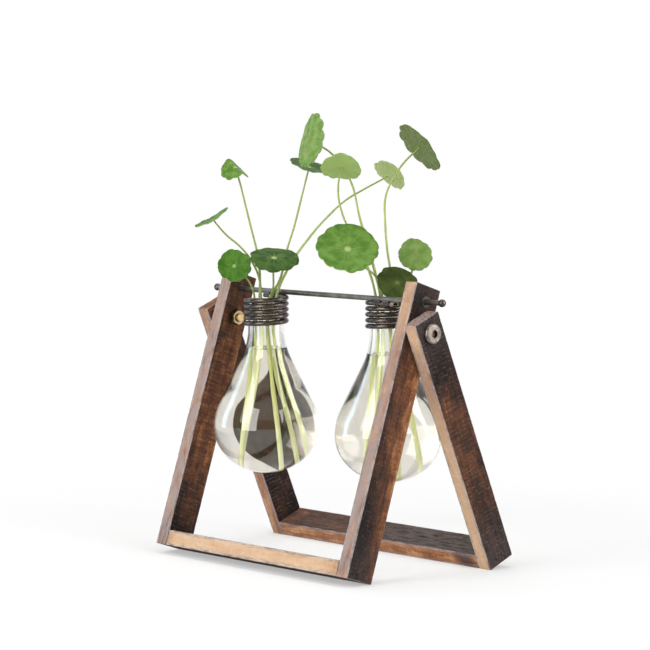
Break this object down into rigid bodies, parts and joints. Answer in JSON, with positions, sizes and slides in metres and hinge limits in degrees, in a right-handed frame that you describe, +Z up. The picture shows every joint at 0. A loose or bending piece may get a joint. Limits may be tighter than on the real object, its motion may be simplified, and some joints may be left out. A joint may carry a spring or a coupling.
{
  "type": "propagation vase",
  "caption": "Folding charred-wood trestle whose rod hangs clear glass bulb vases in wire coils for rooting cuttings; the stand folds, the rod turns and the bulbs unscrew.",
  "frame": {"origin": "on the floor, straight below the middle of the pivot line", "axes": "+X along the rod to the right, +Y towards the rear frame, +Z up"},
  "size_m": [0.1956, 0.1174, 0.2555],
  "materials": {
    "charred_wood": "charred and brushed, open grain, unvarnished",
    "nail_steel": "dark blued",
    "bolt_steel": "satin nickel",
    "nut_brass": "satin",
    "bush_black": "matt black",
    "rod_iron": "blackened iron, satin",
    "clear_glass": "clear blown glass, polished",
    "cutting_green": "fresh leaf, slightly waxy"
  },
  "bodies": {
    "front_frame": {"front_leg_left": "charred_wood", "front_leg_right": "charred_wood", "front_crossbar": "charred_wood", "front_nails": "nail_steel", "rod_bush_left": "bush_black", "rod_bush_right": "bush_black", "pivot_bolt_left": "bolt_steel", "pivot_bolt_right": "bolt_steel", "pivot_washer_left": "bolt_steel", "pivot_washer_right": "bolt_steel", "pivot_nut_left": "nut_brass", "pivot_nut_right": "nut_brass"},
    "rear_frame": {"rear_leg_left": "charred_wood", "rear_leg_right": "charred_wood", "rear_crossbar": "charred_wood", "rear_nails": "nail_steel"},
    "hanger": {"hanger_rod": "rod_iron", "rod_ball_left": "rod_iron", "rod_ball_right": "rod_iron", "wire_coil_left": "rod_iron", "wire_coil_right": "rod_iron", "hanger_welds": "rod_iron", "cutting_left_3": "cutting_green", "cutting_left_4": "cutting_green", "cutting_left_5": "cutting_green", "cutting_left_6": "cutting_green", "cutting_right_1": "cutting_green", "cutting_right_2": "cutting_green", "cutting_right_3": "cutting_green", "cutting_right_4": "cutting_green", "cutting_right_5": "cutting_green"},
    "cuttings_left": {"cutting_left_1": "cutting_green", "cutting_left_2": "cutting_green"},
    "cuttings_right": {"cutting_right_6": "cutting_green"},
    "bulb_left": {"glass_bulb_left": "clear_glass"},
    "bulb_right": {"glass_bulb_right": "clear_glass"}
  },
  "joints": [
    {"name": "stand_fold", "type": "hinge", "parent": "front_frame", "child": "rear_frame", "pos_m": [0, 0, 0.13553], "axis": [1, 0, 0], "range_deg": [-32.4, 40]},
    {"name": "rod_swivel", "type": "hinge", "parent": "front_frame", "child": "hanger", "pos_m": [0, 0.00548, 0.15215], "axis": [1, 0, 0], "range_deg": [-60, 60]},
    {"name": "left_bulb_travel", "type": "slide", "parent": "hanger", "child": "cuttings_left", "axis": [0, 0, -1], "range_m": [0, 0.01651]},
    {"name": "left_bulb_turn", "type": "hinge", "parent": "cuttings_left", "child": "bulb_left", "pos_m": [-0.03764, -0.00632, 0.147], "axis": [0, 0, -1], "range_deg": [0, 1800]},
    {"name": "right_bulb_travel", "type": "slide", "parent": "hanger", "child": "cuttings_right", "axis": [0, 0, -1], "range_m": [0, 0.01651]},
    {"name": "right_bulb_turn", "type": "hinge", "parent": "cuttings_right", "child": "bulb_right", "pos_m": [0.04043, 0.01728, 0.147], "axis": [0, 0, -1], "range_deg": [0, 1800]}
  ],
  "couplings": [
    {"joint": "left_bulb_travel", "follows": "left_bulb_turn", "m_per_rad": 0.00052521},
    {"joint": "right_bulb_travel", "follows": "right_bulb_turn", "m_per_rad": 0.00052521}
  ]
}
